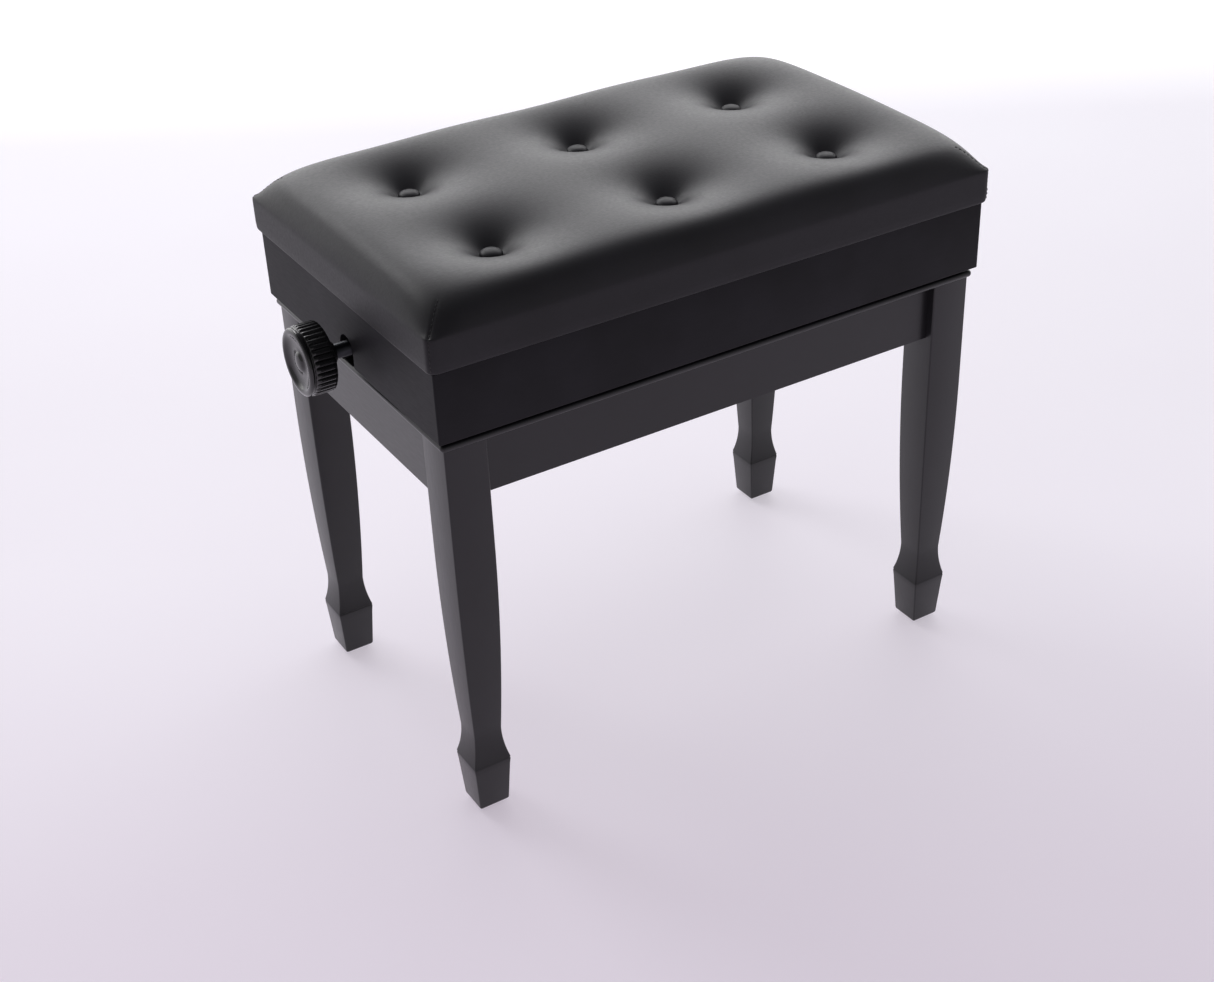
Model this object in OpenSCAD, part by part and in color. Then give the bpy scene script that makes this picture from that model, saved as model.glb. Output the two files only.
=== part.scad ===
// Adjustable piano bench. Four tapered legs with spade feet, aprons and a thin rim make the base.
// A seat box with a tufted cushion stands over it and is raised by a double scissor on one screw.
// X runs along the bench, Y from front to back, Z up. The origin is on the floor under the centre.

/* [Seat box] */
// Length of the seat box over its end boards
box_l = 520; // [430:5:760]
// Depth of the seat box over its front and back boards
box_d = 314; // [260:2:420]
// Height of the box boards
box_h = 60; // [58:1:90]
// Thickness of the box boards
box_t = 18; // [14:0.5:22]
// Radius of the arched notch that the rod passes in each end board
notch_r = 11.5; // [9:0.5:15]
// Height of the corner blocks' and boards' gap over the rim at the lowest setting
seat_gap = 3; // [1:0.5:8]

/* [Legs] */
// Height of the leg tops above the floor
leg_top = 361; // [300:1:450]
// Width of the square leg at its top
leg_w = 36.5; // [30:0.5:46]
// How far below the leg top the taper starts
taper_drop = 96; // [60:2:130]
// Width at the ankle
ankle_w = 25.4; // [20:0.2:30]
// Height of the ankle above the floor
ankle_z = 80; // [70:1:100]
// Width of the spade foot's shoulder
shoulder_w = 34; // [28:0.5:36]
// Height of the spade foot's shoulder
shoulder_z = 50; // [35:1:60]
// Width of the spade foot near the floor
foot_w = 28; // [24:0.5:34]
// Chamfer around the foot's lower edge
foot_chamfer = 3; // [1:0.5:5]
// Thickness of the glide under each foot
glide_t = 2; // [1:0.5:5]
// Radius of the glide
glide_r = 9.5; // [6:0.5:11]

/* [Rim and aprons] */
// Thickness of the rim on the legs and aprons
rim_t = 6; // [4:0.5:12]
// How far the rim's edge stays inside the box faces
rim_in = 2.5; // [0:0.5:6]
// How far the legs' outer faces stay inside the rim's edge
leg_in = 3; // [0:0.5:8]
// How far the front and back aprons stay back from the legs' outer faces
apron_in = 8; // [2:0.5:12]
// How far the end aprons, which are thicker, stay back from the legs' outer faces
end_apron_in = 1.5; // [0.5:0.5:12]
// Thickness of the front and back aprons
apron_t = 18; // [12:0.5:22]
// Height of the aprons
apron_h = 52; // [45:0.5:80]

/* [Cushion] */
// How far the cushion stands out over the box on each side
cushion_over = 4; // [1:0.5:12]
// Gap between the box boards and the seat board
board_gap = 2; // [1.6:0.1:6]
// Thickness of the plywood seat board
board_t = 12; // [9:1:20]
// Height of the cushion's upright side over the seat board's underside
side_h = 28; // [22:1:45]
// Height of the cushion's crown over the seat board's underside
crown_h = 56; // [45:1:90]
// Thickness of the vinyl cover
cover_t = 1.3; // [0.8:0.1:1.6]
// Width of the cover's hem under the seat board
hem_w = 22; // [14:1:30]
// Radius of the covered buttons
button_r = 9.3; // [6:0.5:14]
// Height of the buttons' seats over the seat board's underside
button_seat_h = 32; // [28:1:40]
// Share of the cushion's depth that lies between the two button rows
button_row_share = 0.432; // [0.3:0.002:0.55]
// Share of the cushion's length that lies between neighbouring buttons in a row
button_pitch_share = 0.305; // [0.2:0.005:0.4]

/* [Lift] */
// Radius of the lift screw
rod_r = 6.35; // [5:0.05:8]
// Height of the lift screw's axis over the rim
rod_up = 18; // [15:1:24]
// Travel of the seat
lift_travel = 76; // [40:1:90]
// Thickness of the steel rails
rail_t = 3; // [2:0.5:4]
// Width of the rails' flanges, web included
rail_flange = 28; // [20:1:32]
// Half-height of the rails' webs over and under the pivot line
rail_half = 12; // [11:0.5:13]
// Thickness of the scissor arms
arm_t = 4; // [3:0.5:6]
// Half-width of the scissor arms
arm_r = 10; // [8:0.5:11]
// Radius of the pivot pins
pin_r = 4; // [3:0.1:5]
// Distance of each nut bar's axis from the middle at the lowest setting
nut_x0 = 15.5; // [14:0.5:40]
// Thickness of the bearing plates
plate_t = 3; // [2:0.5:5]

/* [Knobs] */
// Radius of the knob over its ribs
knob_r = 29; // [20:0.5:34]
// Thickness of the knob
knob_t = 24; // [20:0.5:30]
// Distance from the box's end face to the knob's back
knob_out = 19.5; // [10:0.5:40]
// Number of flutes around the knob
knob_flutes = 36; // [24:1:48]

/* [Hidden] */
$fn = 64;

lacquer = "#232226";
steel = "#8d9096";
black_steel = "#2b2c2e";
zinc = "#b9bcc0";
brass = "#b58f45";
black_plastic = "#151517";
vinyl = "#2a2a2d";
foam = "#e8dcb4";
plywood = "#c9a673";
softwood = "#d7b883";
nylon = "#ddd9cd";

// Clearances: a running fit, loose play in slots and at the open pivot, and an air gap
fit = 0.05;
play = 0.3;
air = 1;

// Heights, from the floor up
rim_z = leg_top + rim_t;
rod_z = rim_z + rod_up;
box_z0 = rim_z + seat_gap;
box_z1 = box_z0 + box_h;
board_z0 = box_z1 + board_gap;
board_z1 = board_z0 + board_t;
side_z = board_z0 + side_h;
crown_z = board_z0 + crown_h;
button_z = board_z0 + button_seat_h;

// Half-lengths and half-depths, from the outside in
box_x = box_l / 2;
box_y = box_d / 2;
box_in_x = box_x - box_t;
box_in_y = box_y - box_t;
rim_x = box_x - rim_in;
rim_y = box_y - rim_in;
leg_x = rim_x - leg_in;
leg_y = rim_y - leg_in;
apron_x = leg_x - end_apron_in;
apron_y = leg_y - apron_in;
apron_in_x = leg_x - apron_in - apron_t;
apron_in_y = apron_y - apron_t;

// Leg curves: the radii that join the widths at the taper's top, the ankle and the shoulder
taper_z = leg_top - taper_drop;
taper_steps = 24;
cove_steps = 10;
taper_r = bulge_radius(taper_z - ankle_z, (leg_w - ankle_w) / 2);
cove_r = bulge_radius(ankle_z - shoulder_z, (shoulder_w - ankle_w) / 2);

// Lift: the rails lie against the aprons, and the arms beside them in two layers
rail_x = leg_x - leg_w - air;
rail_y = apron_in_y;
rail_in_y = rail_y - rail_t;
outer_arm_y = rail_in_y - rail_t;
cross_arm_y = outer_arm_y - arm_t - air;
bar_y = cross_arm_y - arm_t - air / 2;
pin_y = rail_y + air;
up_drop = 17;
up_z = board_z0 - up_drop;
rise0 = up_z - rod_z;
pivot_x = rail_x - plate_t - air - arm_r;
arm_l = sqrt(pow(pivot_x - nut_x0, 2) + pow(rise0, 2));
angle1 = asin((rise0 + lift_travel) / arm_l);
nut_x1 = pivot_x - arm_l * cos(angle1);
rivet_head_r = pin_r + 3;
rivet_head_t = 1.5;
rail_drop = 16;
bar_w = 16;
bar_h = 24;
nut_r = 9;
nut_flange_r = 11;
nut_flange_t = 3;
bush_r = 9;
bush_flange_r = 12;
bush_flange_t = 3;
collar_r = 11;
collar_l = 8;

// Knob and rod
neck_r = rod_r + 2.4;
neck_l = 8;
knob_x = box_x + knob_out;
rod_depth = 16;
roll_pin_r = 1.5;
flute_r = 1.6;
flute_sides = 24;
rim_ring_r = knob_r - 2;

// The knob's outline from its back to the middle of its face, as radius and height
knob_outline = [
    [0, 0], [knob_r - 4, 0], [knob_r, 4], [knob_r, knob_t - 6], [rim_ring_r, knob_t - 4],
    [rim_ring_r, knob_t - 1.5], [rim_ring_r - 1.5, knob_t], [rim_ring_r - 5, knob_t],
    [rim_ring_r - 8, knob_t - 3], [8, knob_t - 4], [5, knob_t - 2.5], [0, knob_t - 2]
];

// Screws, brackets and their places
screw_r = 2;
screw_head_r = 4;
screw_head_t = 2.2;
screw_slot = 1;
rail_screw_l = 14;
board_screw_l = 12;
rail_screw_x = [-0.85, -0.3, 0.3, 0.85];
rail_screw_z = leg_top - 8;
board_screw_y = rail_in_y - 19;
bracket_t = 3;
bracket_h = 24;
bracket_d = 52;
bracket_tab = 22;
bracket_hole_share = 0.6;
bolt_z = leg_top - 31;
bolt_r = 4;
bolt_in = 12;
bolt_out = 54;
bolt_flat = 14;
bolt_flat_h = 60;
glide_nail_r = 1.5;
glide_nail_l = 12;

// Where the leg's inner corner lies on the corner's diagonal
leg_corner_d = (leg_w - apron_in - apron_t) * sqrt(2);

// Wood inside the box
block_gap = 3;
block_w = box_in_x - rail_x - block_gap;
block_inset = 2;
cleat_gap = 2.5;
cleat_t = box_in_y - rail_y - cleat_gap;
cleat_h = 20;

// Cushion: how far each level steps in from the side, and its share of the height from side to crown
cushion_x = box_x + cushion_over;
cushion_y = box_y + cushion_over;
button_pitch = 2 * cushion_x * button_pitch_share;
button_row_y = cushion_y * button_row_share;
corner_r = 12;
cushion_levels = [[0, 0], [5, 0.3], [14, 0.55], [34, 0.82], [70, 1]];
dimple_top_r = 46;
dimple_foot_r = button_r + 1.5;
dimple_skin = 1.6;
foam_gap = 0.2;
button_t = 3;
button_dome = 3;
twine_r = 1;
twine_washer_r = 6;
twine_washer_t = 1.2;
slice = 0.5;
corner_sides = 32;
dimple_sides = 48;

// Depth of an arc of radius r at distance d from its tangent point
function bulge(r, d) = r - sqrt(r * r - d * d);

// Radius of the arc that moves sideways by step over the height run
function bulge_radius(run, step) = (run * run + step * step) / (2 * step);

// One side of the leg's outline, from the top down
leg_side = concat(
    [[leg_w / 2, leg_top]],
    [for (i = [0 : taper_steps])
        let (d = (taper_z - ankle_z) * i / taper_steps)
        [leg_w / 2 - bulge(taper_r, d), taper_z - d]],
    [for (i = [1 : cove_steps])
        let (d = (ankle_z - shoulder_z) * i / cove_steps)
        [ankle_w / 2 + bulge(cove_r, d), ankle_z - d]],
    [[foot_w / 2, glide_t + foot_chamfer], [foot_w / 2 - foot_chamfer, glide_t]]
);
leg_outline = concat(
    leg_side,
    [for (i = [len(leg_side) - 1 : -1 : 0]) [-leg_side[i][0], leg_side[i][1]]]
);

module both_x() {
    children();
    mirror([1, 0, 0]) children();
}

module both_y() {
    children();
    mirror([0, 1, 0]) children();
}

// A cylinder along X from x0 to x1
module rod_along_x(r, x0, x1) {
    translate([x0, 0, 0]) rotate([0, 90, 0]) cylinder(r = r, h = x1 - x0);
}

// A cylinder along Y from y0 to y1
module pin_along_y(r, y0, y1) {
    translate([0, y1, 0]) rotate([90, 0, 0]) cylinder(r = r, h = y1 - y0);
}

// A pan head on z = 0 with its shank going down, and the hole it needs
module screw(length) {
    difference() {
        cylinder(r = screw_head_r, h = screw_head_t);
        translate([-screw_head_r - air, -screw_slot / 2, screw_head_t - screw_slot])
            cube([2 * screw_head_r + 2 * air, screw_slot, screw_slot + air]);
    }
    translate([0, 0, -length]) cylinder(r = screw_r, h = length);
}

module screw_hole(length) {
    translate([0, 0, -length - air]) cylinder(r = screw_r + fit, h = length + 2 * air);
}

// ---- Base ----

// Local origin of a corner: where the inner faces of two aprons would meet, +X going diagonally inwards
module at_corner() {
    translate([-apron_in_x, -apron_in_y, bolt_z]) rotate([0, 0, 45]) children();
}

module leg_shape() {
    color(lacquer) difference() {
        translate([leg_w / 2 - leg_x, leg_w / 2 - leg_y, 0]) difference() {
            intersection() {
                rotate([90, 0, 0]) linear_extrude(leg_w + 2 * air, center = true) polygon(leg_outline);
                rotate([90, 0, 90]) linear_extrude(leg_w + 2 * air, center = true) polygon(leg_outline);
            }
            translate([0, 0, glide_t - air]) cylinder(r = glide_nail_r + fit, h = glide_nail_l + air);
        }
        at_corner() {
            rod_along_x(bolt_r + fit, -bolt_in - air, bolt_out);
            translate([leg_corner_d - bolt_flat / 2, -leg_w / 2, -bolt_flat_h / 2])
                cube([bolt_flat, leg_w, bolt_flat_h + leg_top]);
        }
    }
}

module leg_front_left() { leg_shape(); }
module leg_front_right() { mirror([1, 0, 0]) leg_shape(); }
module leg_back_left() { mirror([0, 1, 0]) leg_shape(); }
module leg_back_right() { mirror([1, 0, 0]) mirror([0, 1, 0]) leg_shape(); }

module foot_glides() {
    color(nylon) both_x() both_y() translate([leg_w / 2 - leg_x, leg_w / 2 - leg_y, 0]) {
        cylinder(r = glide_r, h = glide_t);
        translate([0, 0, glide_t]) cylinder(r = glide_nail_r, h = glide_nail_l - air);
    }
}

// The place of each lower rail screw on the front rail, its shank going out into the apron
module at_lower_rail_screws() {
    for (share = rail_screw_x)
        translate([share * rail_x, -rail_in_y, rail_screw_z]) rotate([-90, 0, 0]) children();
}

// The place of both screws of one bracket, on its two tabs
module at_bracket_screws() {
    tab_mid = bracket_d + bracket_tab * bracket_hole_share;
    translate([tab_mid - apron_in_x, bracket_t - apron_in_y, bolt_z]) rotate([-90, 0, 0]) children();
    translate([bracket_t - apron_in_x, tab_mid - apron_in_y, bolt_z]) rotate([0, 90, 0]) children();
}

module front_apron_shape() {
    color(lacquer) difference() {
        translate([leg_w - leg_x, -apron_y, leg_top - apron_h])
            cube([2 * (leg_x - leg_w), apron_t, apron_h]);
        at_lower_rail_screws() screw_hole(rail_screw_l);
        both_x() at_bracket_screws() screw_hole(rail_screw_l);
    }
}

module left_apron_shape() {
    color(lacquer) difference() {
        translate([-apron_x, leg_w - leg_y, leg_top - apron_h])
            cube([apron_x - apron_in_x, 2 * (leg_y - leg_w), apron_h]);
        both_y() at_bracket_screws() screw_hole(rail_screw_l);
    }
}

module apron_front() { front_apron_shape(); }
module apron_back() { mirror([0, 1, 0]) front_apron_shape(); }
module apron_left() { left_apron_shape(); }
module apron_right() { mirror([1, 0, 0]) left_apron_shape(); }

// A mitred strip along X, on the front side, between two half-lengths and half-depths
module mitred_front(x_out, y_out, x_in, y_in, z0, height) {
    translate([0, 0, z0]) linear_extrude(height)
        polygon([[-x_out, -y_out], [x_out, -y_out], [x_in, -y_in], [-x_in, -y_in]]);
}

module mitred_left(x_out, y_out, x_in, y_in, z0, height) {
    translate([0, 0, z0]) linear_extrude(height)
        polygon([[-x_out, -y_out], [-x_in, -y_in], [-x_in, y_in], [-x_out, y_out]]);
}

module front_rim_shape() {
    color(lacquer) mitred_front(rim_x, rim_y, apron_in_x, apron_in_y, leg_top, rim_t);
}

module left_rim_shape() {
    color(lacquer) mitred_left(rim_x, rim_y, apron_in_x, apron_in_y, leg_top, rim_t);
}

module rim_front() { front_rim_shape(); }
module rim_back() { mirror([0, 1, 0]) front_rim_shape(); }
module rim_left() { left_rim_shape(); }
module rim_right() { mirror([1, 0, 0]) left_rim_shape(); }

// A steel strip folded across the corner, with a tab on each apron
module bracket_shape() {
    d = bracket_d;
    t = bracket_t;
    end = d + bracket_tab;
    fold = d + t * (sqrt(2) - 1);
    difference() {
        translate([-apron_in_x, -apron_in_y, bolt_z - bracket_h / 2]) linear_extrude(bracket_h)
            polygon([[0, end], [0, d], [d, 0], [end, 0], [end, t], [fold, t], [t, fold], [t, end]]);
        at_corner() rod_along_x(bolt_r + play, 0, bolt_out);
        at_bracket_screws() screw_hole(rail_screw_l);
    }
}

module corner_brackets() { color(zinc) both_x() both_y() bracket_shape(); }

module hanger_bolts() {
    color(zinc) both_x() both_y() at_corner() rod_along_x(bolt_r, -bolt_in, bolt_out);
}

module wing_nuts() {
    hub_r = 7;
    hub_l = 8;
    wing_l = 9;
    wing_t = 2.4;
    wing_back = 2;
    nut_at = bracket_d / sqrt(2) + bracket_t;
    color(zinc) both_x() both_y() at_corner() difference() {
        union() {
            rod_along_x(hub_r, nut_at, nut_at + hub_l);
            translate([nut_at + wing_back, -hub_r - wing_l, -wing_t / 2])
                cube([hub_l + wing_back, 2 * (hub_r + wing_l), wing_t]);
        }
        rod_along_x(bolt_r + fit, nut_at - air, nut_at + 2 * hub_l);
    }
}

module bracket_screws() { color(zinc) both_x() both_y() at_bracket_screws() screw(rail_screw_l); }
module lower_rail_screws() { color(zinc) both_y() at_lower_rail_screws() screw(rail_screw_l); }

// A slot through the front rail for a pin that slides between two places
module slot_y(z) {
    r = pin_r + play;
    translate([-nut_x1 - play, 0, z]) pin_along_y(r, -rail_y - air, -rail_in_y + air);
    translate([-nut_x0 + play, 0, z]) pin_along_y(r, -rail_y - air, -rail_in_y + air);
    translate([-nut_x1 - play, -rail_y - air, z - r])
        cube([nut_x1 - nut_x0 + 2 * play, rail_t + 2 * air, 2 * r]);
}

module lower_rail_shape() {
    foot_z = leg_top - rail_drop;
    color(steel) difference() {
        union() {
            translate([-rail_x, -rail_y, foot_z]) cube([2 * rail_x, rail_t, rod_z + rail_half - foot_z]);
            translate([-rail_x, -rail_y, foot_z]) cube([2 * rail_x, rail_flange, rail_t]);
        }
        both_x() {
            slot_y(rod_z);
            translate([-pivot_x, 0, rod_z]) pin_along_y(pin_r + fit, -rail_y - air, -rail_in_y + air);
        }
        at_lower_rail_screws() screw_hole(rail_screw_l);
    }
}

module lower_rail_front() { lower_rail_shape(); }
module lower_rail_back() { mirror([0, 1, 0]) lower_rail_shape(); }

// Cross plates at the rails' ends that carry the rod's bushes
module bearing_plates() {
    plate_z0 = leg_top - rail_drop + rail_t;
    color(steel) both_x() difference() {
        translate([-rail_x, -rail_in_y, plate_z0])
            cube([plate_t, 2 * rail_in_y, rod_z + rail_half - plate_z0]);
        translate([0, 0, rod_z]) rod_along_x(bush_r + fit, -rail_x - air, air - rail_x + plate_t);
    }
}

module rod_bushes() {
    color(brass) both_x() translate([0, 0, rod_z]) difference() {
        union() {
            rod_along_x(bush_r, -rail_x, plate_t - rail_x);
            rod_along_x(bush_flange_r, -rail_x - bush_flange_t, -rail_x);
        }
        rod_along_x(rod_r + fit, -rail_x - bush_flange_t - air, air - rail_x + plate_t);
    }
}

// A front rivet through what lies between two half-depths, with a head at both ends
module rivet(y_out, y_in) {
    pin_along_y(pin_r, -y_out, play - y_in);
    pin_along_y(rivet_head_r, -y_out - rivet_head_t, -y_out);
    pin_along_y(rivet_head_r, play - y_in, play - y_in + rivet_head_t);
}

// Rivets that carry the outer arms' lower ends on the lower rails
module base_pivot_rivets() {
    color(zinc) both_x() both_y() translate([-pivot_x, 0, rod_z]) rivet(rail_y, outer_arm_y - arm_t);
}

// ---- Scissor arms ----

// A flat arm between two ends, in the plane of the bench's length, with a round eye at both ends
module arm_shape(from, to, y0, hole_from, hole_mid, hole_to) {
    run = to[0] - from[0];
    rise = to[1] - from[1];
    difference() {
        translate([from[0], y0, from[1]]) rotate([0, -atan2(rise, run), 0]) {
            length = norm([run, rise]);
            translate([0, 0, -arm_r]) cube([length, arm_t, 2 * arm_r]);
            pin_along_y(arm_r, 0, arm_t);
            translate([length, 0, 0]) pin_along_y(arm_r, 0, arm_t);
        }
        translate([from[0], 0, from[1]]) pin_along_y(hole_from, y0 - air, y0 + arm_t + air);
        translate([to[0], 0, to[1]]) pin_along_y(hole_to, y0 - air, y0 + arm_t + air);
        translate([(from[0] + to[0]) / 2, 0, (from[1] + to[1]) / 2])
            pin_along_y(hole_mid, y0 - air, y0 + arm_t + air);
    }
}

module outer_arm_shape() {
    color(steel) arm_shape([-pivot_x, rod_z], [-nut_x0, up_z], -outer_arm_y,
        pin_r + fit, pin_r + fit, pin_r + fit);
}

module cross_arm_shape(top_clearance) {
    color(steel) arm_shape([-pivot_x, up_z], [-nut_x0, rod_z], -cross_arm_y,
        pin_r + top_clearance, pin_r + fit, pin_r + fit);
}

module outer_arm_left_front() { outer_arm_shape(); }
module outer_arm_left_back() { mirror([0, 1, 0]) outer_arm_shape(); }
module outer_arm_right_front() { mirror([1, 0, 0]) outer_arm_shape(); }
module outer_arm_right_back() { mirror([1, 0, 0]) mirror([0, 1, 0]) outer_arm_shape(); }
module cross_arm_left_front() { cross_arm_shape(fit); }
module cross_arm_left_back() { mirror([0, 1, 0]) cross_arm_shape(fit); }
module cross_arm_right_front() { mirror([1, 0, 0]) cross_arm_shape(play); }
module cross_arm_right_back() { mirror([1, 0, 0]) mirror([0, 1, 0]) cross_arm_shape(play); }

// Rivets through both arms where they cross
module centre_rivets_shape() {
    color(zinc) both_y() translate([-(pivot_x + nut_x0) / 2, 0, (rod_z + up_z) / 2])
        rivet(outer_arm_y, cross_arm_y - arm_t);
}

// Rod from the front outer arm's upper end to the back one, its ends sliding in the upper rails
module tie_rod_shape() {
    color(zinc) translate([-nut_x0, 0, up_z]) pin_along_y(pin_r, -pin_y, pin_y);
}

// Bar between the cross arms' lower ends, with a turned pin at both ends and the nut in its middle
module nut_bar_shape() {
    color(steel) translate([-nut_x0, 0, rod_z]) difference() {
        union() {
            translate([-bar_w / 2, -bar_y, -bar_h / 2]) cube([bar_w, 2 * bar_y, bar_h]);
            pin_along_y(pin_r, -pin_y, pin_y);
        }
        rod_along_x(nut_r + fit, -bar_w, bar_w);
    }
}

module lift_nut_shape() {
    color(brass) translate([-nut_x0, 0, rod_z]) difference() {
        union() {
            rod_along_x(nut_r, -bar_w / 2, bar_w / 2);
            rod_along_x(nut_flange_r, -bar_w / 2 - nut_flange_t, -bar_w / 2);
        }
        rod_along_x(rod_r + fit, -bar_w, bar_w);
    }
}

module centre_rivets_left() { centre_rivets_shape(); }
module centre_rivets_right() { mirror([1, 0, 0]) centre_rivets_shape(); }
module tie_rod_left() { tie_rod_shape(); }
module tie_rod_right() { mirror([1, 0, 0]) tie_rod_shape(); }
module nut_bar_left() { nut_bar_shape(); }
module nut_bar_right() { mirror([1, 0, 0]) nut_bar_shape(); }
module lift_nut_left() { lift_nut_shape(); }
module lift_nut_right() { mirror([1, 0, 0]) lift_nut_shape(); }

// ---- Lift screw and knobs ----

// Middles of the roll pins that hold the knobs and the thrust collars
knob_pin_x = knob_x - neck_l / 2;
collar_x = rail_x - plate_t - play - collar_l;
collar_pin_x = collar_x + collar_l / 2;

module at_rod_pins() {
    both_x() for (x = [knob_pin_x, collar_pin_x]) translate([-x, 0, rod_z]) children();
}

module lift_screw() {
    color(black_steel) difference() {
        translate([0, 0, rod_z]) rod_along_x(rod_r, -knob_x - rod_depth, knob_x + rod_depth);
        at_rod_pins() cylinder(r = roll_pin_r + fit, h = 4 * rod_r, center = true);
    }
}

module rod_pins() {
    color(steel) at_rod_pins() cylinder(r = roll_pin_r, h = 2 * neck_r, center = true);
}

module thrust_collars() {
    color(zinc) both_x() difference() {
        translate([0, 0, rod_z]) rod_along_x(collar_r, -collar_x - collar_l, -collar_x);
        translate([0, 0, rod_z]) rod_along_x(rod_r + fit, -collar_x - collar_l - air, air - collar_x);
        translate([-collar_pin_x, 0, rod_z])
            cylinder(r = roll_pin_r + fit, h = 4 * collar_r, center = true);
    }
}

// Fluted knob with a smooth rim, a dished face and a low dome in its middle
module knob_shape() {
    color(black_plastic) difference() {
        translate([-knob_x, 0, rod_z]) rotate([0, -90, 0]) difference() {
            union() {
                translate([0, 0, -neck_l]) cylinder(r = neck_r, h = neck_l + air);
                rotate_extrude() polygon(knob_outline);
            }
            for (i = [0 : knob_flutes - 1])
                rotate([0, 0, 360 * i / knob_flutes]) translate([knob_r + flute_r / 2, 0, -air])
                    cylinder(r = flute_r, h = knob_t - 4, $fn = flute_sides);
            translate([0, 0, -neck_l - air]) cylinder(r = rod_r + fit, h = neck_l + air + rod_depth);
        }
        at_rod_pins() cylinder(r = roll_pin_r + fit, h = 4 * neck_r, center = true);
    }
}

module knob_left() { knob_shape(); }
module knob_right() { mirror([1, 0, 0]) knob_shape(); }

// ---- Seat box ----

module front_box_shape() {
    color(lacquer) mitred_front(box_x, box_y, box_in_x, box_in_y, box_z0, box_h);
}

module left_box_shape() {
    color(lacquer) difference() {
        mitred_left(box_x, box_y, box_in_x, box_in_y, box_z0, box_h);
        translate([0, 0, rod_z]) rod_along_x(notch_r, -box_x - air, air - box_in_x);
        translate([-box_x - air, -notch_r, box_z0 - air])
            cube([box_t + 2 * air, 2 * notch_r, rod_z - box_z0 + air]);
    }
}

module box_front() { front_box_shape(); }
module box_back() { mirror([0, 1, 0]) front_box_shape(); }
module box_left() { left_box_shape(); }
module box_right() { mirror([1, 0, 0]) left_box_shape(); }

module corner_blocks() {
    color(softwood) both_x() both_y()
        translate([-box_in_x, -box_in_y, box_z0 + block_inset])
            cube([block_w, block_w, box_h - block_inset - air]);
}

module cleats() {
    cleat_x = box_in_x - block_w;
    color(softwood) both_y() translate([-cleat_x, -box_in_y, board_z0 - cleat_h])
        cube([2 * cleat_x, cleat_t, cleat_h]);
}

// The place of each upper rail screw on the front rail, its shank going up into the seat board
module at_upper_rail_screws() {
    for (share = rail_screw_x)
        translate([share * rail_x, -board_screw_y, board_z0 - rail_t]) rotate([180, 0, 0]) children();
}

module upper_rail_shape() {
    web_z = up_z - rail_half;
    color(steel) difference() {
        union() {
            translate([-rail_x, -rail_y, web_z]) cube([2 * rail_x, rail_t, board_z0 - web_z]);
            translate([-rail_x, -rail_y, board_z0 - rail_t]) cube([2 * rail_x, rail_flange, rail_t]);
        }
        both_x() {
            slot_y(up_z);
            translate([-pivot_x, 0, up_z]) pin_along_y(pin_r + fit, -rail_y - air, -rail_in_y + air);
        }
        at_upper_rail_screws() screw_hole(board_screw_l);
    }
}

module upper_rail_front() { upper_rail_shape(); }
module upper_rail_back() { mirror([0, 1, 0]) upper_rail_shape(); }
module upper_rail_screws() { color(zinc) both_y() at_upper_rail_screws() screw(board_screw_l); }

// Rivets that carry the cross arms' upper ends under the upper rails
module seat_pivot_rivets() {
    color(zinc) both_x() both_y() translate([-pivot_x, 0, up_z]) rivet(rail_y, cross_arm_y - arm_t);
}

// ---- Cushion ----

module at_buttons() {
    for (x = [-button_pitch, 0, button_pitch], y = [-button_row_y, button_row_y])
        translate([x, y, 0]) children();
}

module seat_board() {
    color(plywood) difference() {
        translate([cover_t - cushion_x, cover_t - cushion_y, board_z0])
            cube([2 * (cushion_x - cover_t), 2 * (cushion_y - cover_t), board_t]);
        both_x() both_y() difference() {
            translate([-cushion_x, -cushion_y, board_z0 - air])
                cube([corner_r, corner_r, board_t + 2 * air]);
            translate([corner_r - cushion_x, corner_r - cushion_y, board_z0 - 2 * air])
                cylinder(r = corner_r - cover_t - fit, h = board_t + 4 * air);
        }
        both_y() at_upper_rail_screws() screw_hole(board_screw_l);
        at_buttons() translate([0, 0, board_z0 - air]) cylinder(r = twine_r + play, h = board_t + 2 * air);
    }
}

// The four corners of one level of the cushion, in by inset, the cover drawn in by shrink
module cushion_corners(inset, z, shrink) {
    for (sx = [-1, 1], sy = [-1, 1])
        translate([sx * (cushion_x - corner_r - inset), sy * (cushion_y - corner_r - inset), z])
            cylinder(r = corner_r - shrink, h = slice, $fn = corner_sides);
}

// The cushion's crowned body, drawn in by shrink on its sides and top, standing on z0
module cushion_body(shrink, z0) {
    hull() {
        cushion_corners(0, z0, shrink);
        for (level = cushion_levels)
            cushion_corners(level[0], side_z + level[1] * (crown_z - side_z) - shrink - slice, shrink);
    }
}

// The funnels that the buttons pull into the cushion, lowered by drop
module dimples(drop) {
    at_buttons() translate([0, 0, button_z - drop])
        cylinder(r1 = dimple_foot_r, r2 = dimple_top_r, h = crown_z - button_z, $fn = dimple_sides);
}

// The straight wells that run on over the lowered funnels
module wells(drop) {
    at_buttons() translate([0, 0, crown_z - drop - slice])
        cylinder(r = dimple_top_r, h = crown_h, $fn = dimple_sides);
}

module twine_holes(z0) {
    at_buttons() translate([0, 0, z0]) cylinder(r = twine_r + play, h = crown_h);
}

module foam_pad() {
    color(foam) difference() {
        cushion_body(cover_t + foam_gap, board_z1);
        dimples(dimple_skin + foam_gap);
        wells(dimple_skin + foam_gap);
        twine_holes(board_z1 - air);
    }
}

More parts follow.
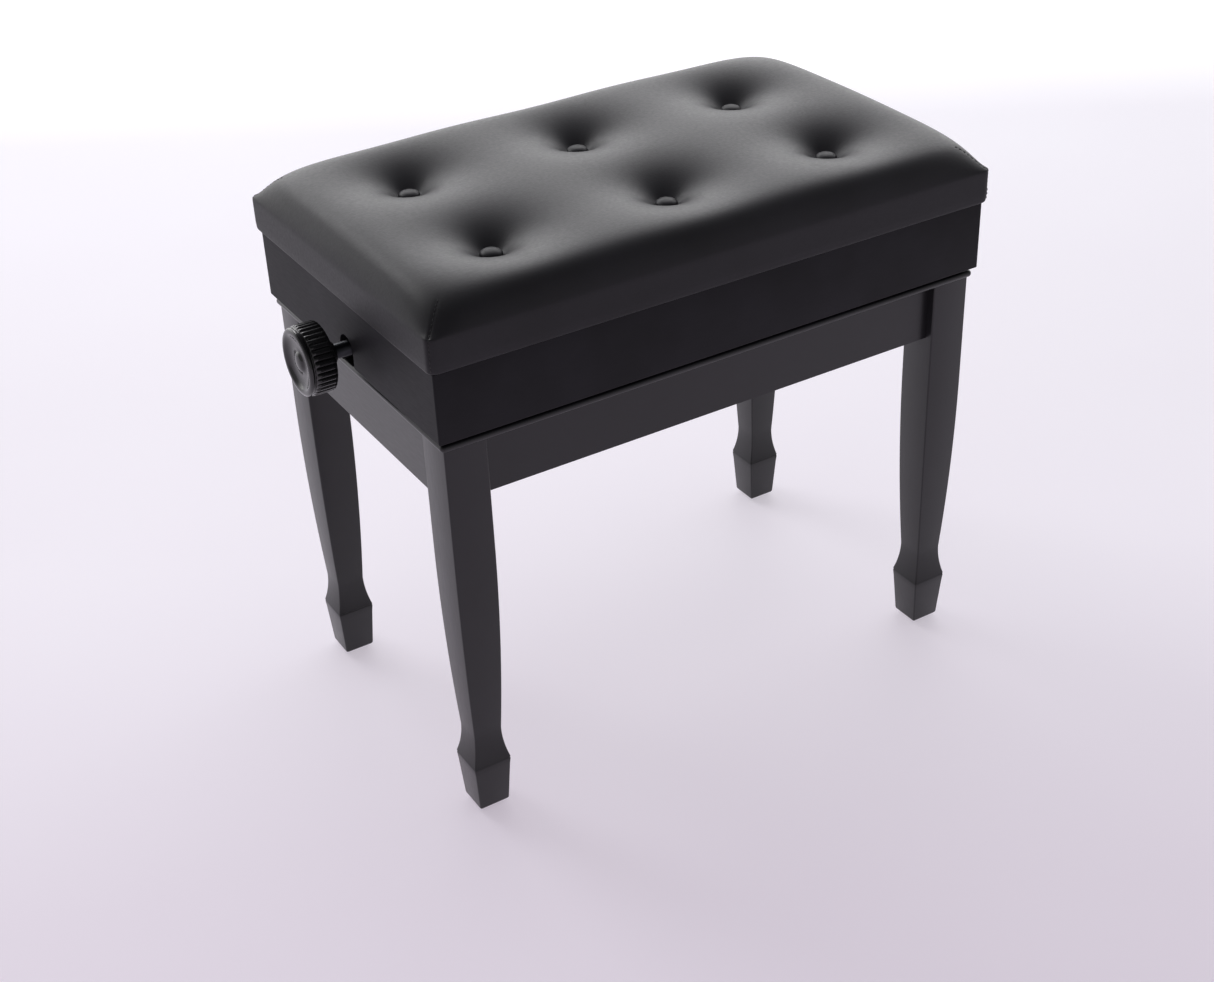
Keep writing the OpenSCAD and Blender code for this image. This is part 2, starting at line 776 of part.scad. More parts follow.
module cushion_cover() {
    color(vinyl) difference() {
        cushion_body(0, board_z0 - cover_t);
        dimples(0);
        difference() {
            cushion_body(cover_t, board_z0);
            dimples(dimple_skin);
            wells(dimple_skin);
        }
        translate([hem_w - cushion_x, hem_w - cushion_y, board_z0 - cover_t - air])
            cube([2 * (cushion_x - hem_w), 2 * (cushion_y - hem_w), cover_t + 2 * air]);
        twine_holes(board_z0);
    }
}

module tufting_buttons() {
    dome_r = (button_r * button_r + button_dome * button_dome) / (2 * button_dome);
    color(vinyl) at_buttons() translate([0, 0, button_z]) {
        cylinder(r = button_r, h = button_t);
        translate([0, 0, button_t]) intersection() {
            translate([0, 0, button_dome - dome_r]) sphere(r = dome_r);
            cylinder(r = button_r, h = button_dome + air);
        }
    }
}

// Twine from each button through the foam and the seat board, held by a washer under the board
module tufting_twines() {
    color(nylon) at_buttons() {
        translate([0, 0, board_z0]) cylinder(r = twine_r, h = button_z - board_z0);
        translate([0, 0, board_z0 - twine_washer_t]) cylinder(r = twine_washer_r, h = twine_washer_t);
    }
}

leg_front_left();
leg_front_right();
leg_back_left();
leg_back_right();
apron_front();
apron_back();
apron_left();
apron_right();
rim_front();
rim_back();
rim_left();
rim_right();
corner_brackets();
hanger_bolts();
wing_nuts();
bracket_screws();
foot_glides();
lower_rail_front();
lower_rail_back();
lower_rail_screws();
bearing_plates();
rod_bushes();
base_pivot_rivets();
outer_arm_left_front();
outer_arm_left_back();
centre_rivets_left();
tie_rod_left();
cross_arm_left_front();
cross_arm_left_back();
nut_bar_left();
lift_nut_left();
outer_arm_right_front();
outer_arm_right_back();
centre_rivets_right();
tie_rod_right();
cross_arm_right_front();
cross_arm_right_back();
nut_bar_right();
lift_nut_right();
lift_screw();
knob_left();
knob_right();
rod_pins();
thrust_collars();
box_front();
box_back();
box_left();
box_right();
corner_blocks();
cleats();
upper_rail_front();
upper_rail_back();
upper_rail_screws();
seat_pivot_rivets();
seat_board();
foam_pad();
cushion_cover();
tufting_buttons();
tufting_twines();
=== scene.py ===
# Adjustable piano bench: a black lacquered base and seat box, a button-tufted vinyl cushion,
# and a screw-driven scissor lift between them, turned by a fluted knob at each end.

import math

import bmesh
import bpy
import numpy as np
from mathutils import Matrix, Vector


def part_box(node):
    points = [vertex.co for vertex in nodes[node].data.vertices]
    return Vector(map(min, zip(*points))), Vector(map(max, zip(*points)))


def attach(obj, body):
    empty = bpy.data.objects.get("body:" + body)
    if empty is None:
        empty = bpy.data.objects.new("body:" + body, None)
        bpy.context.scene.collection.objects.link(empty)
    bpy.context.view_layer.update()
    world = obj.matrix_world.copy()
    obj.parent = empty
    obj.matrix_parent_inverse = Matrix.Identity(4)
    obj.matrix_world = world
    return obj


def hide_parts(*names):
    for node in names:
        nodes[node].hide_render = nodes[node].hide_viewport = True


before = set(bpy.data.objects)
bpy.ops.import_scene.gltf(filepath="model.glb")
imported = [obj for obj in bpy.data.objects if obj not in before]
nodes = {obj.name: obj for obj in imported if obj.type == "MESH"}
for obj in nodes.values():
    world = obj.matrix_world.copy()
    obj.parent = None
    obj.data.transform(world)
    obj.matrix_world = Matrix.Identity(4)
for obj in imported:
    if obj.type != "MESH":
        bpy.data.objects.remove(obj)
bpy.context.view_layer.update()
MM = 0.001


# ---------------------------------------------------------------- camera
# A long lens in front of the bench's left corner, looking down on it and rolled a little.

camera_azimuth = math.radians(-31.17)
camera_elevation = math.radians(32.43)
camera_roll = math.radians(-2.11)
camera_target = Vector((-57.8, -82.2, 214)) * MM
camera_distance = 1594.5 * MM

camera_data = bpy.data.cameras.new("camera")
camera_data.sensor_width = 36
camera_data.lens = 55.09
camera_data.shift_x = -0.0139
camera_data.shift_y = 0.0046
camera = bpy.data.objects.new("camera", camera_data)
bpy.context.collection.objects.link(camera)
bpy.context.scene.camera = camera

backwards = Vector((
    math.sin(camera_azimuth) * math.cos(camera_elevation),
    -math.cos(camera_azimuth) * math.cos(camera_elevation),
    math.sin(camera_elevation),
))
level_right = (-backwards).cross(Vector((0, 0, 1))).normalized()
level_up = level_right.cross(-backwards)
rolled_right = math.cos(camera_roll) * level_right + math.sin(camera_roll) * level_up
rolled_up = math.cos(camera_roll) * level_up - math.sin(camera_roll) * level_right
camera.matrix_world = Matrix.Translation(camera_target + backwards * camera_distance) @ Matrix((
    (rolled_right.x, rolled_up.x, backwards.x, 0),
    (rolled_right.y, rolled_up.y, backwards.y, 0),
    (rolled_right.z, rolled_up.z, backwards.z, 0),
    (0, 0, 0, 1),
))


# ---------------------------------------------------------------- legs
# Four legs of solid beech, tapered on a long curve to an ankle over a spade foot, sanded and
# sprayed with black satin lacquer. Each is drawn against the aprons by a hanger bolt.

def linear(hex_colour):
    """An sRGB hex colour as linear RGBA."""
    parts = [int(hex_colour[i:i + 2], 16) / 255 for i in (1, 3, 5)]
    return [c / 12.92 if c <= 0.04045 else ((c + 0.055) / 1.055) ** 2.4 for c in parts] + [1.0]


def add_node(material, kind, links=None, values=None, stops=None, **settings):
    """A shader node with its settings, its constant inputs, its links and its ramp's stops."""
    node = material.node_tree.nodes.new(kind)
    for name, setting in settings.items():
        setattr(node, name, setting)
    for socket, value in (values or {}).items():
        node.inputs[socket].default_value = value
    for socket, source in (links or {}).items():
        material.node_tree.links.new(source, node.inputs[socket])
    for i, (position, colour) in enumerate(stops or []):
        stop = node.color_ramp.elements[i] if i < 2 else node.color_ramp.elements.new(position)
        stop.position = position
        stop.color = colour
    return node


def new_material(name, values):
    """A material by name, with the constants of its shader."""
    material = bpy.data.materials.new(name)
    material.use_nodes = True
    shader = material.node_tree.nodes["Principled BSDF"]
    for socket, value in values.items():
        shader.inputs[socket].default_value = value
    return material, shader


def black_lacquered_beech(finish, grain_axis, dark, light, values):
    """Sprayed lacquer: near black, an even soft gloss, with the beech's short pores just
    showing through and a slight unevenness from the spray."""
    pore_width, pore_length = 0.9 * MM, 14 * MM
    spray_size = 5 * MM
    material, shader = new_material(f"{finish} lacquered beech {grain_axis}", values)
    place = add_node(material, "ShaderNodeTexCoord").outputs["Object"]
    scale = [1 / pore_length if axis == grain_axis else 1 / pore_width for axis in "XYZ"]
    along = add_node(material, "ShaderNodeMapping", {"Vector": place}, {"Scale": scale})
    pores = add_node(material, "ShaderNodeTexNoise", {"Vector": along.outputs["Vector"]},
                     {"Scale": 1, "Detail": 3, "Roughness": 0.6})
    spray = add_node(material, "ShaderNodeTexNoise", {"Vector": place},
                     {"Scale": 1 / spray_size, "Detail": 2})
    cloud = add_node(material, "ShaderNodeTexNoise", {"Vector": place}, {"Scale": 18, "Detail": 2})
    colour = add_node(material, "ShaderNodeValToRGB", {"Fac": cloud.outputs["Fac"]}, stops=[
        (0.3, linear(dark)), (0.7, linear(light)),
    ])
    gloss = add_node(material, "ShaderNodeMapRange", {"Value": pores.outputs["Fac"]},
                     {"From Min": 0.3, "From Max": 0.7, "To Min": values["Roughness"] - 0.04,
                      "To Max": values["Roughness"] + 0.04})
    dip = add_node(material, "ShaderNodeBump", {"Height": pores.outputs["Fac"]},
                   {"Strength": 0.25, "Distance": 0.04 * MM})
    peel = add_node(material, "ShaderNodeBump",
                    {"Height": spray.outputs["Fac"], "Normal": dip.outputs["Normal"]},
                    {"Strength": 0.2, "Distance": 0.05 * MM})
    tree = material.node_tree.links
    tree.new(colour.outputs["Color"], shader.inputs["Base Color"])
    tree.new(gloss.outputs["Result"], shader.inputs["Roughness"])
    tree.new(peel.outputs["Normal"], shader.inputs["Normal"])
    tree.new(peel.outputs["Normal"], shader.inputs["Coat Normal"])
    return material


satin = {axis: black_lacquered_beech("satin black", axis, "#121114", "#18171b", {
    "IOR": 1.5, "Roughness": 0.36, "Specular IOR Level": 0.42,
    "Coat Weight": 0.2, "Coat Roughness": 0.22, "Coat IOR": 1.5,
}) for axis in "XYZ"}


def add_piece(name, points, faces, material, body, replaced=(), sharp_angle=32):
    """A mesh piece that rides on a body and stands for CAD nodes, smooth up to sharp_angle."""
    shape = bmesh.new()
    corners = [shape.verts.new(point) for point in points]
    for face in faces:
        shape.faces.new([corners[i] for i in face])
    bmesh.ops.remove_doubles(shape, verts=shape.verts, dist=0.002 * MM)
    bmesh.ops.recalc_face_normals(shape, faces=shape.faces)
    for face in shape.faces:
        face.smooth = True
    for edge in shape.edges:
        edge.smooth = edge.is_manifold and edge.calc_face_angle() < math.radians(sharp_angle)
    mesh = bpy.data.meshes.new(name)
    shape.to_mesh(mesh)
    shape.free()
    mesh.materials.append(material)
    piece = bpy.data.objects.new(name, mesh)
    bpy.context.collection.objects.link(piece)
    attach(piece, body)
    if replaced:
        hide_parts(*replaced)
    return piece


def loft(rings):
    """Points and faces of a closed solid through rings that have the same number of points."""
    count = len(rings[0])
    points = [point for ring in rings for point in ring]
    faces = []
    for r in range(len(rings) - 1):
        for i in range(count):
            j = (i + 1) % count
            faces.append((r * count + i, r * count + j, (r + 1) * count + j, (r + 1) * count + i))
    faces.append(tuple(reversed(range(count))))
    faces.append(tuple((len(rings) - 1) * count + i for i in range(count)))
    return points, faces


def blend_between(x, x0, x1):
    """0 before x0, 1 after x1, and a smooth rise between."""
    t = min(max((x - x0) / (x1 - x0), 0), 1)
    return t * t * (3 - 2 * t)


ankle_w = 25.4 * MM
ankle_z = 80 * MM
shoulder_w = 34 * MM
shoulder_z = 50 * MM
shoulder_round = 2.5 * MM
shoulder_flat_drop = 8 * MM
foot_w = 28 * MM
foot_round = 3 * MM
taper_drop = 96 * MM
taper_steps, ankle_steps = 28, 14
eased_r = 1.3 * MM
bolt_flat_r = 9.5 * MM
bolt_flat_drop = 61 * MM
bolt_flat_step = 0.05 * MM


def arc_step(step, run, distance):
    """How far an arc has moved sideways at a distance, if it moves step over the whole run."""
    radius = (run * run + step * step) / (2 * step)
    return radius - math.sqrt(radius * radius - distance * distance)


def leg_outline(top_w, top_z, bottom_z):
    """(height, half-width) down the leg: straight, tapered on an arc, flared to the shoulder,
    and drawn in again to a foot with a rounded lower edge."""
    taper_z = top_z - taper_drop
    taper_run, flare_run = taper_z - ankle_z, ankle_z - shoulder_z
    levels = [(top_z, top_w / 2), (taper_z, top_w / 2)]
    for i in range(1, taper_steps + 1):
        down = taper_run * i / taper_steps
        inward = arc_step((top_w - ankle_w) / 2, taper_run, down)
        levels.append((taper_z - down, top_w / 2 - inward))
    for i in range(1, ankle_steps + 1):
        down = flare_run * i / ankle_steps
        outward = arc_step((shoulder_w - ankle_w) / 2, flare_run, down)
        levels.append((ankle_z - down, ankle_w / 2 + outward))
    for degrees in (55, 30, 0):
        turn = math.radians(degrees)
        inward = shoulder_round * (1 - math.cos(turn)) / 2
        levels.append((shoulder_z - shoulder_round * (1 - math.sin(turn)), shoulder_w / 2 - inward))
    slope = (shoulder_w - foot_w) / 2 / (shoulder_z - bottom_z - foot_round)
    levels.append((shoulder_z - shoulder_flat_drop, shoulder_w / 2 - shoulder_flat_drop * slope))
    for degrees in (0, 25, 50, 75, 90):
        turn = math.radians(degrees)
        inward = foot_round * (1 - math.cos(turn))
        levels.append((bottom_z + foot_round * (1 - math.sin(turn)), foot_w / 2 - inward))
    return levels


corner_signs = ((1, 1), (-1, 1), (-1, -1), (1, -1))


def square_ring(centre, half, z, corners, steps=5):
    """A square whose corners are rounded or cut flat: (radius, flat) for each corner sign."""
    ring = []
    for k, (sx, sy) in enumerate(corner_signs):
        radius, flat = corners[k]
        for i in range(steps):
            share = i / (steps - 1)
            turn = math.radians(90 * k + 90 * share)
            x, y = math.cos(turn), math.sin(turn)
            if flat:
                start, end = math.radians(90 * k), math.radians(90 * k + 90)
                x = math.cos(start) * (1 - share) + math.cos(end) * share
                y = math.sin(start) * (1 - share) + math.sin(end) * share
            ring.append((centre.x + sx * (half - radius) + radius * x,
                         centre.y + sy * (half - radius) + radius * y, z))
    return ring


for name in ("leg_front_left", "leg_front_right", "leg_back_left", "leg_back_right"):
    low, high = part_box(name)
    centre = (low + high) / 2
    inner_corner = corner_signs.index((1 if centre.x < 0 else -1, 1 if centre.y < 0 else -1))
    levels = leg_outline(high.x - low.x, high.z, low.z)
    top_half = levels[0][1]
    # the inner corner is cut flat for the hanger bolt, down to a step
    flat_z = high.z - bolt_flat_drop
    levels[1:1] = [(flat_z, top_half), (flat_z - bolt_flat_step, top_half)]
    rings = []
    for z, half in levels:
        corners = [(eased_r, False)] * 4
        if z >= flat_z:
            corners[inner_corner] = (bolt_flat_r, True)
        rings.append(square_ring(centre, half, z, corners))
    points, faces = loft(rings)
    add_piece(name.replace("leg", "tapered_leg"), points, faces, satin["Z"], "base",
              [name], sharp_angle=24)


# ---------------------------------------------------------------- foot glides
# Natural nylon discs, each nailed to the underside of a leg.

def moulded_nylon():
    """Injection-moulded nylon: waxy off-white with a dull even surface."""
    material, shader = new_material("natural nylon", {"IOR": 1.53, "Roughness": 0.5})
    place = add_node(material, "ShaderNodeTexCoord").outputs["Object"]
    cloud = add_node(material, "ShaderNodeTexNoise", {"Vector": place}, {"Scale": 160, "Detail": 3})
    colour = add_node(material, "ShaderNodeValToRGB", {"Fac": cloud.outputs["Fac"]}, stops=[
        (0.3, linear("#d3cfc2")), (0.7, linear("#e2dfd4")),
    ])
    grit = add_node(material, "ShaderNodeBump", {"Height": cloud.outputs["Fac"]},
                    {"Strength": 0.3, "Distance": 0.05 * MM})
    material.node_tree.links.new(colour.outputs["Color"], shader.inputs["Base Color"])
    material.node_tree.links.new(grit.outputs["Normal"], shader.inputs["Normal"])
    return material


def finish_node(name, material, eased):
    """Gives a CAD node its material and eases its sharp edges by a width in millimetres."""
    node = nodes[name]
    for place in node.material_slots:
        place.material = material
    if node.data.has_custom_normals:
        node.data.attributes.remove(node.data.attributes["custom_normal"])
    node.data.polygons.foreach_set("use_smooth", [True] * len(node.data.polygons))
    weld = node.modifiers.new("join faces", "WELD")
    weld.merge_threshold = 0.002 * MM
    ease = node.modifiers.new("ease edges", "BEVEL")
    ease.width = eased * MM
    ease.segments = 2
    ease.limit_method = "ANGLE"
    ease.angle_limit = math.radians(35)
    flatten = node.modifiers.new("keep faces flat", "WEIGHTED_NORMAL")
    flatten.keep_sharp = False


nylon = moulded_nylon()
finish_node("foot_glides", nylon, 0.5)


# ---------------------------------------------------------------- aprons
# Beech boards screwed and bracketed between the legs, set back from the legs' faces.

for side, grain in (("front", "X"), ("back", "X"), ("left", "Y"), ("right", "Y")):
    finish_node(f"apron_{side}", satin[grain], 1.0)


# ---------------------------------------------------------------- rim
# Four thin mitred strips with a rounded outer edge, glued on the legs and aprons.

def mitred_side(section, half_l, half_d, corner_r, steps=5):
    """Points and faces of the front side of a mitred ring. The section is a closed list of
    (distance in from the outer face, height); the ring's outer corners have radius corner_r."""
    rings = []
    for side in (-1, 1):
        for i in range(steps):
            share = i / (steps - 1)
            turn = math.radians(225 + 45 * share if side < 0 else 270 + 45 * share)
            ring = []
            for inset, z in section:
                radius = max(corner_r - inset, 0)
                reach = max(corner_r, inset)
                ring.append((side * (half_l - reach) + radius * math.cos(turn),
                             -(half_d - reach) + radius * math.sin(turn), z))
            rings.append(ring)
    return loft(rings)


def turned(points, side):
    """Points of a front side turned to the side they belong to."""
    turn = {
        "front": lambda u, v: (u, v), "back": lambda u, v: (-u, -v),
        "left": lambda u, v: (v, -u), "right": lambda u, v: (-v, u),
    }[side]
    return [turn(x, y) + (z,) for x, y, z in points]


def add_mitred_ring(prefix, node_prefix, section, half_l, half_d, corner_r, body, lacquer):
    """The four sides of a mitred ring of lacquered boards."""
    made = {}
    for side in ("front", "back", "left", "right"):
        along, across = (half_l, half_d) if side in ("front", "back") else (half_d, half_l)
        grain = "X" if side in ("front", "back") else "Y"
        points, faces = mitred_side(section, along, across, corner_r)
        made[side] = add_piece(
            f"{prefix}_{side}", turned(points, side), faces, lacquer[grain], body,
            [f"{node_prefix}_{side}"],
        )
    return made


def rounded_section(thickness, z0, z1, outer_top_r, outer_low_r, steps=5):
    """A board's section with its two outer edges rounded and its inner edges square."""
    section = [(thickness, z0)]
    turns = [math.pi / 2 * i / (steps - 1) for i in range(steps)]
    for turn in turns:
        across, up = 1 - math.sin(turn), 1 - math.cos(turn)
        section.append((outer_low_r * across, z0 + outer_low_r * up))
    for turn in turns:
        across, down = 1 - math.cos(turn), 1 - math.sin(turn)
        section.append((outer_top_r * across, z1 - outer_top_r * down))
    section.append((thickness, z1))
    return section


rim_low, rim_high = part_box("rim_front")
rim_edge_r = (rim_high.z - rim_low.z) * 0.46
rim_corner_r = 3.5 * MM
rim_w = rim_high.y - rim_low.y
rim_section = rounded_section(rim_w, rim_low.z, rim_high.z, rim_edge_r, rim_edge_r)
add_mitred_ring("rim_strip", "rim", rim_section, rim_high.x, -rim_low.y, rim_corner_r, "base",
                satin)


# ---------------------------------------------------------------- corner hardware
# Zinc-plated pressed brackets folded across the corners, with a hanger bolt and a wing nut in
# each, and pan head screws through their tabs.

def zinc_plate():
    """Bright zinc over steel: cool grey, softly mirror-like, with faint clouding."""
    material, shader = new_material("zinc-plated steel", {"Metallic": 1})
    place = add_node(material, "ShaderNodeTexCoord").outputs["Object"]
    cloud = add_node(material, "ShaderNodeTexNoise", {"Vector": place}, {"Scale": 120, "Detail": 4})
    colour = add_node(material, "ShaderNodeValToRGB", {"Fac": cloud.outputs["Fac"]}, stops=[
        (0.35, linear("#aab0b6")), (0.65, linear("#c9ccd0")),
    ])
    gloss = add_node(material, "ShaderNodeMapRange", {"Value": cloud.outputs["Fac"]},
                     {"To Min": 0.22, "To Max": 0.42})
    material.node_tree.links.new(colour.outputs["Color"], shader.inputs["Base Color"])
    material.node_tree.links.new(gloss.outputs["Result"], shader.inputs["Roughness"])
    return material


zinc = zinc_plate()
for name in ("corner_brackets", "wing_nuts", "bracket_screws", "lower_rail_screws",
             "upper_rail_screws"):
    finish_node(name, zinc, 0.4)
finish_node("hanger_bolts", zinc, 0.6)


# ---------------------------------------------------------------- rails, plates and arms
# The lift's steelwork: angle rails screwed to the aprons and the seat board, flat arms in two
# layers beside them, plates across the rails' ends and a bar for each nut.

def cold_rolled_steel():
    """Cold-rolled strip with a film of oil: dark grey, drawn in fine lines along its length."""
    line_width, line_length = 0.5 * MM, 60 * MM
    material, shader = new_material("cold-rolled steel", {"Metallic": 1})
    place = add_node(material, "ShaderNodeTexCoord").outputs["Object"]
    drawn = add_node(material, "ShaderNodeMapping", {"Vector": place},
                     {"Scale": (1 / line_length, 1 / line_width, 1 / line_width)})
    lines = add_node(material, "ShaderNodeTexNoise", {"Vector": drawn.outputs["Vector"]},
                     {"Scale": 1, "Detail": 3})
    cloud = add_node(material, "ShaderNodeTexNoise", {"Vector": place}, {"Scale": 35, "Detail": 4})
    colour = add_node(material, "ShaderNodeValToRGB", {"Fac": cloud.outputs["Fac"]}, stops=[
        (0.3, linear("#6e7176")), (0.7, linear("#8b8e93")),
    ])
    gloss = add_node(material, "ShaderNodeMapRange", {"Value": lines.outputs["Fac"]},
                     {"To Min": 0.28, "To Max": 0.5})
    scratch = add_node(material, "ShaderNodeBump", {"Height": lines.outputs["Fac"]},
                       {"Strength": 0.3, "Distance": 0.02 * MM})
    tree = material.node_tree.links
    tree.new(colour.outputs["Color"], shader.inputs["Base Color"])
    tree.new(gloss.outputs["Result"], shader.inputs["Roughness"])
    tree.new(scratch.outputs["Normal"], shader.inputs["Normal"])
    return material


steel = cold_rolled_steel()
steelwork = ["bearing_plates", "nut_bar_left", "nut_bar_right"]
for row in ("front", "back"):
    steelwork += [f"lower_rail_{row}", f"upper_rail_{row}"]
    for side in ("left", "right"):
        steelwork += [f"outer_arm_{side}_{row}", f"cross_arm_{side}_{row}"]
for name in steelwork:
    finish_node(name, steel, 0.4)


# ---------------------------------------------------------------- rivets, rods, nuts and bushes
# Zinc-plated rivets and tie rods at the scissors' pivots, turned brass nuts on the screw and
# brass bushes where it passes the end plates.

def turned_brass():
    """Brass from the lathe: warm yellow metal with fine rings."""
    material, shader = new_material("turned brass", {"Metallic": 1, "Roughness": 0.28})
    place = add_node(material, "ShaderNodeTexCoord").outputs["Object"]
    cloud = add_node(material, "ShaderNodeTexNoise", {"Vector": place}, {"Scale": 200, "Detail": 3})
    colour = add_node(material, "ShaderNodeValToRGB", {"Fac": cloud.outputs["Fac"]}, stops=[
        (0.3, linear("#b58a3c")), (0.7, linear("#cba556")),
    ])
    rings = add_node(material, "ShaderNodeBump", {"Height": cloud.outputs["Fac"]},
                     {"Strength": 0.3, "Distance": 0.02 * MM})
    material.node_tree.links.new(colour.outputs["Color"], shader.inputs["Base Color"])
    material.node_tree.links.new(rings.outputs["Normal"], shader.inputs["Normal"])
    return material


for name in ("base_pivot_rivets", "seat_pivot_rivets", "centre_rivets_left", "centre_rivets_right",
             "tie_rod_left", "tie_rod_right", "thrust_collars", "rod_pins"):
    finish_node(name, zinc, 0.4)
brass = turned_brass()
for name in ("rod_bushes", "lift_nut_left", "lift_nut_right"):
    finish_node(name, brass, 0.3)


# ---------------------------------------------------------------- lift screw
# One steel rod from knob to knob, blackened and oiled, with a right-hand thread on one half and
# a left-hand thread on the other, so that turning it moves both nuts apart or together.

def blackened_steel():
    """Black oxide with oil: a dark metal, glossy where it is rubbed."""
    material, shader = new_material("blackened steel", {"Metallic": 1})
    place = add_node(material, "ShaderNodeTexCoord").outputs["Object"]
    cloud = add_node(material, "ShaderNodeTexNoise", {"Vector": place}, {"Scale": 90, "Detail": 4})
    colour = add_node(material, "ShaderNodeValToRGB", {"Fac": cloud.outputs["Fac"]}, stops=[
        (0.3, linear("#26272a")), (0.7, linear("#3a3b3e")),
    ])
    gloss = add_node(material, "ShaderNodeMapRange", {"Value": cloud.outputs["Fac"]},
                     {"To Min": 0.22, "To Max": 0.4})
    material.node_tree.links.new(colour.outputs["Color"], shader.inputs["Base Color"])
    material.node_tree.links.new(gloss.outputs["Result"], shader.inputs["Roughness"])
    return material


rod_low, rod_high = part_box("lift_screw")
rod_r = (rod_high.z - rod_low.z) / 2
rod_z = (rod_high.z + rod_low.z) / 2
thread_pitch = 3 * MM
thread_depth = 0.9 * MM
thread_from, thread_to = 5 * MM, 78 * MM
rod_sides = 32
thread_steps = 8


def thread_cut(x, turn):
    """How deep the thread is cut at a place along the rod and around it, in metres."""
    along = abs(x)
    fade = blend_between(along, thread_from, thread_from + thread_pitch)
    fade *= 1 - blend_between(along, thread_to - thread_pitch, thread_to)
    phase = (along / thread_pitch + turn / (2 * math.pi)) % 1
    flank = abs(2 * phase - 1)
    return thread_depth * fade * min(max(1.6 * flank - 0.3, 0), 1)


rod_places = [rod_low.x, rod_low.x + 1 * MM]
thread_count = round(2 * thread_to / thread_pitch * thread_steps)
rod_places += [-thread_to + 2 * thread_to * i / thread_count for i in range(thread_count + 1)]
rod_places += [rod_high.x - 1 * MM, rod_high.x]
rod_rings = []
for x in rod_places:
    end = x in (rod_low.x, rod_high.x)
    ring = []
    for i in range(rod_sides):
        turn = 2 * math.pi * i / rod_sides
        radius = rod_r - (1 * MM if end else 0) - thread_cut(x, turn)
        ring.append((x, radius * math.cos(turn), rod_z + radius * math.sin(turn)))
    rod_rings.append(ring)
points, faces = loft(rod_rings)
add_piece("threaded_lift_screw", points, faces, blackened_steel(), "screw",
          ["lift_screw"], sharp_angle=50)


# ---------------------------------------------------------------- knobs
# Compression-moulded black phenolic, pinned on the rod's ends: ribs around the barrel, a smooth
# raised ring at the face, and a dished face with a low dome in its middle.

def moulded_phenolic():
    """Phenolic straight from a polished mould: deep black with a sharp gloss."""
    material, shader = new_material("moulded phenolic", {"IOR": 1.6, "Roughness": 0.16})
    place = add_node(material, "ShaderNodeTexCoord").outputs["Object"]
    cloud = add_node(material, "ShaderNodeTexNoise", {"Vector": place}, {"Scale": 110, "Detail": 3})
    colour = add_node(material, "ShaderNodeValToRGB", {"Fac": cloud.outputs["Fac"]}, stops=[
        (0.3, linear("#0f0f10")), (0.7, linear("#171718")),
    ])
    flow = add_node(material, "ShaderNodeBump", {"Height": cloud.outputs["Fac"]},
                    {"Strength": 0.05, "Distance": 0.04 * MM})
    material.node_tree.links.new(colour.outputs["Color"], shader.inputs["Base Color"])
    material.node_tree.links.new(flow.outputs["Normal"], shader.inputs["Normal"])
    return material


phenolic = moulded_phenolic()
knob_ribs = 36
rib_steps = 10
rib_depth = 1.5 * MM
drawn_l, drawn_r = 32 * MM, 27.5 * MM
# (distance from the back of the neck, radius) in millimetres, from the neck to the face's middle
knob_outline = [
    (0, 6.4), (0, 7.9), (0.6, 8.6), (3, 8.75), (6.5, 8.75), (7.6, 9.4), (8, 11), (8.1, 16),
    (8.2, 23), (8.5, 25.4), (9.3, 26.9), (10.5, 27.5), (12, 27.5), (15, 27.5), (19, 27.5),
    (23, 27.5), (25.2, 27.5),
    (26.2, 27.1), (26.9, 26.2), (27.3, 25.6), (27.8, 25.5), (28.2, 26), (28.8, 26.5), (29.8, 26.6),
    (30.8, 26.2), (31.5, 25.3), (31.9, 24.2), (32, 23), (31.8, 22), (31.2, 21), (30.2, 19.6),
    (29.2, 17.6), (28.5, 15), (28.2, 12), (28.3, 9.4), (28.9, 8.1), (29.8, 7.1), (30.6, 5.4),
    (31.1, 3), (31.25, 1), (31.28, 0.2),
]
for side, sign in (("left", -1), ("right", 1)):
    low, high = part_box(f"knob_{side}")
    neck_back = high.x if sign < 0 else low.x
    longer = (high.x - low.x) / drawn_l
    wider = (high.z - low.z) / (2 * drawn_r)
    knob_rings = []
    for along, radius in knob_outline:
        ribbed = blend_between(along, 8.6, 10) * (1 - blend_between(along, 25.3, 27))
        ring = []
        for i in range(knob_ribs * rib_steps):
            turn = 2 * math.pi * i / (knob_ribs * rib_steps)
            rib = 1 - abs(math.sin(knob_ribs * turn / 2)) ** 0.8
            r = radius * wider * MM - rib_depth * ribbed * rib
            x = neck_back + sign * along * MM * longer
            ring.append((x, r * math.cos(turn), rod_z + r * math.sin(turn)))
        knob_rings.append(ring)
    points, faces = loft(knob_rings)
    add_piece(f"fluted_knob_{side}", points, faces, phenolic, "screw",
              [f"knob_{side}"], sharp_angle=40)


# ---------------------------------------------------------------- seat box
# Four mitred beech boards under the cushion, in a duller black than the base. Each end board
# has an arched notch, open at the bottom, that drops over the rod.

dull = {axis: black_lacquered_beech("dull black", axis, "#232225", "#29282c", {
    "IOR": 1.5, "Roughness": 0.5, "Specular IOR Level": 0.1,
}) for axis in "XY"}
board_low, board_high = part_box("box_front")
board_t = board_high.y - board_low.y
board_top_r, board_foot_r = 0.9 * MM, 1.2 * MM
box_corner_r = 1.6 * MM
box_sides = add_mitred_ring(
    "seat_box", "box",
    rounded_section(board_t, board_low.z, board_high.z, board_top_r, board_foot_r),
    board_high.x, -board_low.y, box_corner_r, "seat", dull,
)
notch_r = 11.5 * MM
notch_steps = 24
notch_clear = 5 * MM
flat_face_area = 200 * MM * MM


def applied_mesh(piece):
    """A new mesh of a piece as its modifiers leave it."""
    bpy.context.view_layer.update()
    return bpy.data.meshes.new_from_object(
        piece.evaluated_get(bpy.context.evaluated_depsgraph_get()))


